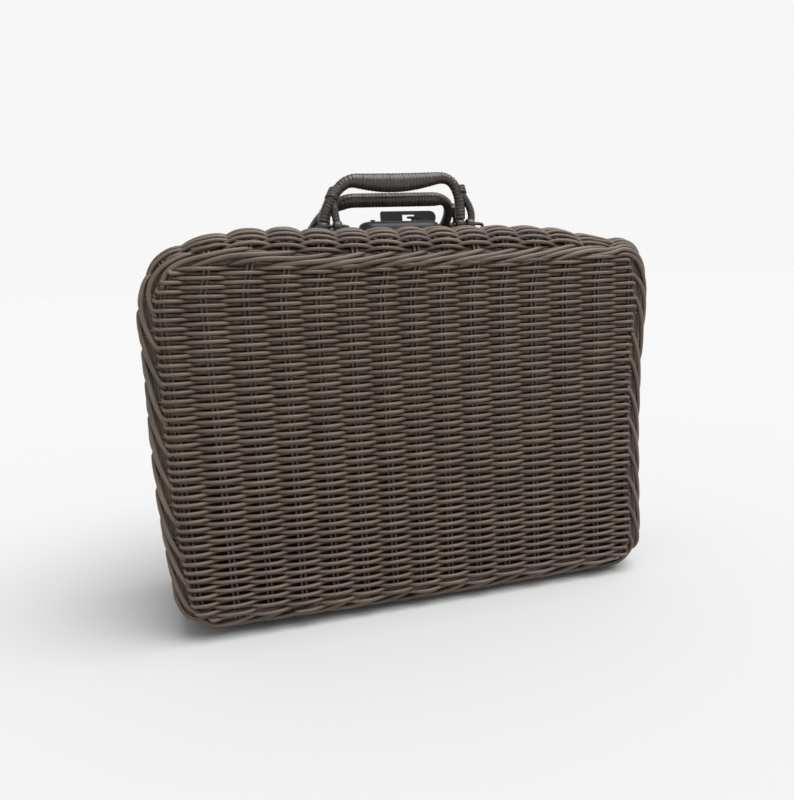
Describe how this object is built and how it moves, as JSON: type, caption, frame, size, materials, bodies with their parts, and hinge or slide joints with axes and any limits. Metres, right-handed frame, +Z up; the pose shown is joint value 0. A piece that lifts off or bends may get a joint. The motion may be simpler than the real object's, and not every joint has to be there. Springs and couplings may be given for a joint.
{
  "type": "picnic case",
  "caption": "Hinged woven cane picnic case of two equal rounded halves, with bound rims, folding wound handles and a black hasp clasp with a turn button",
  "frame": {"origin": "middle of the floor under the closed case", "axes": "+X along the width, -Y out of the front face, +Z up to the handles, seam of the halves in the plane y = 0"},
  "size_m": [0.414, 0.1616, 0.3478],
  "materials": {
    "woven_cane": "grey-brown stained round cane, satin",
    "handle_winding": "flat grey-brown winding cane, satin",
    "clasp_black": "black coated metal, satin",
    "hinge_black": "black coated metal, satin",
    "staple_wire": "black coated wire, satin"
  },
  "bodies": {
    "back_half": {"back_border": "woven_cane", "back_handle_staple_left": "staple_wire", "back_handle_staple_right": "staple_wire", "back_rim": "woven_cane", "back_weave": "woven_cane", "flap_leaf": "clasp_black", "flap_leaf_rivet_left": "clasp_black", "flap_leaf_rivet_right": "clasp_black", "flap_pin": "clasp_black", "hinge_left_back_leaf": "hinge_black", "hinge_left_back_rivet_left": "hinge_black", "hinge_left_back_rivet_right": "hinge_black", "hinge_left_pin": "hinge_black", "hinge_right_back_leaf": "hinge_black", "hinge_right_back_rivet_left": "hinge_black", "hinge_right_back_rivet_right": "hinge_black", "hinge_right_pin": "hinge_black"},
    "front_half": {"clasp_plate": "clasp_black", "clasp_plate_rivet_left": "clasp_black", "clasp_plate_rivet_right": "clasp_black", "front_border": "woven_cane", "front_handle_staple_left": "staple_wire", "front_handle_staple_right": "staple_wire", "front_rim": "woven_cane", "front_weave": "woven_cane", "hinge_left_front_leaf": "hinge_black", "hinge_left_front_rivet_left": "hinge_black", "hinge_left_front_rivet_right": "hinge_black", "hinge_right_front_leaf": "hinge_black", "hinge_right_front_rivet_left": "hinge_black", "hinge_right_front_rivet_right": "hinge_black"},
    "front_handle": {"front_handle_binding_left": "handle_winding", "front_handle_binding_right": "handle_winding", "front_handle_bow": "handle_winding", "front_handle_grip_wrap": "handle_winding", "front_handle_inner_leg_left": "handle_winding", "front_handle_inner_leg_right": "handle_winding"},
    "back_handle": {"back_handle_binding_left": "handle_winding", "back_handle_binding_right": "handle_winding", "back_handle_bow": "handle_winding", "back_handle_grip_wrap": "handle_winding", "back_handle_inner_leg_left": "handle_winding", "back_handle_inner_leg_right": "handle_winding"},
    "clasp_flap": {"clasp_flap": "clasp_black"},
    "turn_button": {"turn_button": "clasp_black"}
  },
  "joints": [
    {"name": "case_hinge", "type": "hinge", "parent": "back_half", "child": "front_half", "pos_m": [0, 0, 0.0024], "axis": [1, 0, 0], "range_deg": [0, 110]},
    {"name": "front_handle_pivot", "type": "hinge", "parent": "front_half", "child": "front_handle", "pos_m": [0.003, -0.022, 0.30695], "axis": [1, 0, 0], "range_deg": [0, 85]},
    {"name": "back_handle_pivot", "type": "hinge", "parent": "back_half", "child": "back_handle", "pos_m": [0.003, 0.022, 0.30695], "axis": [1, 0, 0], "range_deg": [-139, 0]},
    {"name": "flap_hinge", "type": "hinge", "parent": "back_half", "child": "clasp_flap", "pos_m": [0.018, 0.0028, 0.3073], "axis": [1, 0, 0], "range_deg": [0, 98]},
    {"name": "turn_button_pivot", "type": "hinge", "parent": "front_half", "child": "turn_button", "pos_m": [0.018, -0.0039, 0.3119], "axis": [0, 0, 1], "range_deg": [0, 90]}
  ]
}
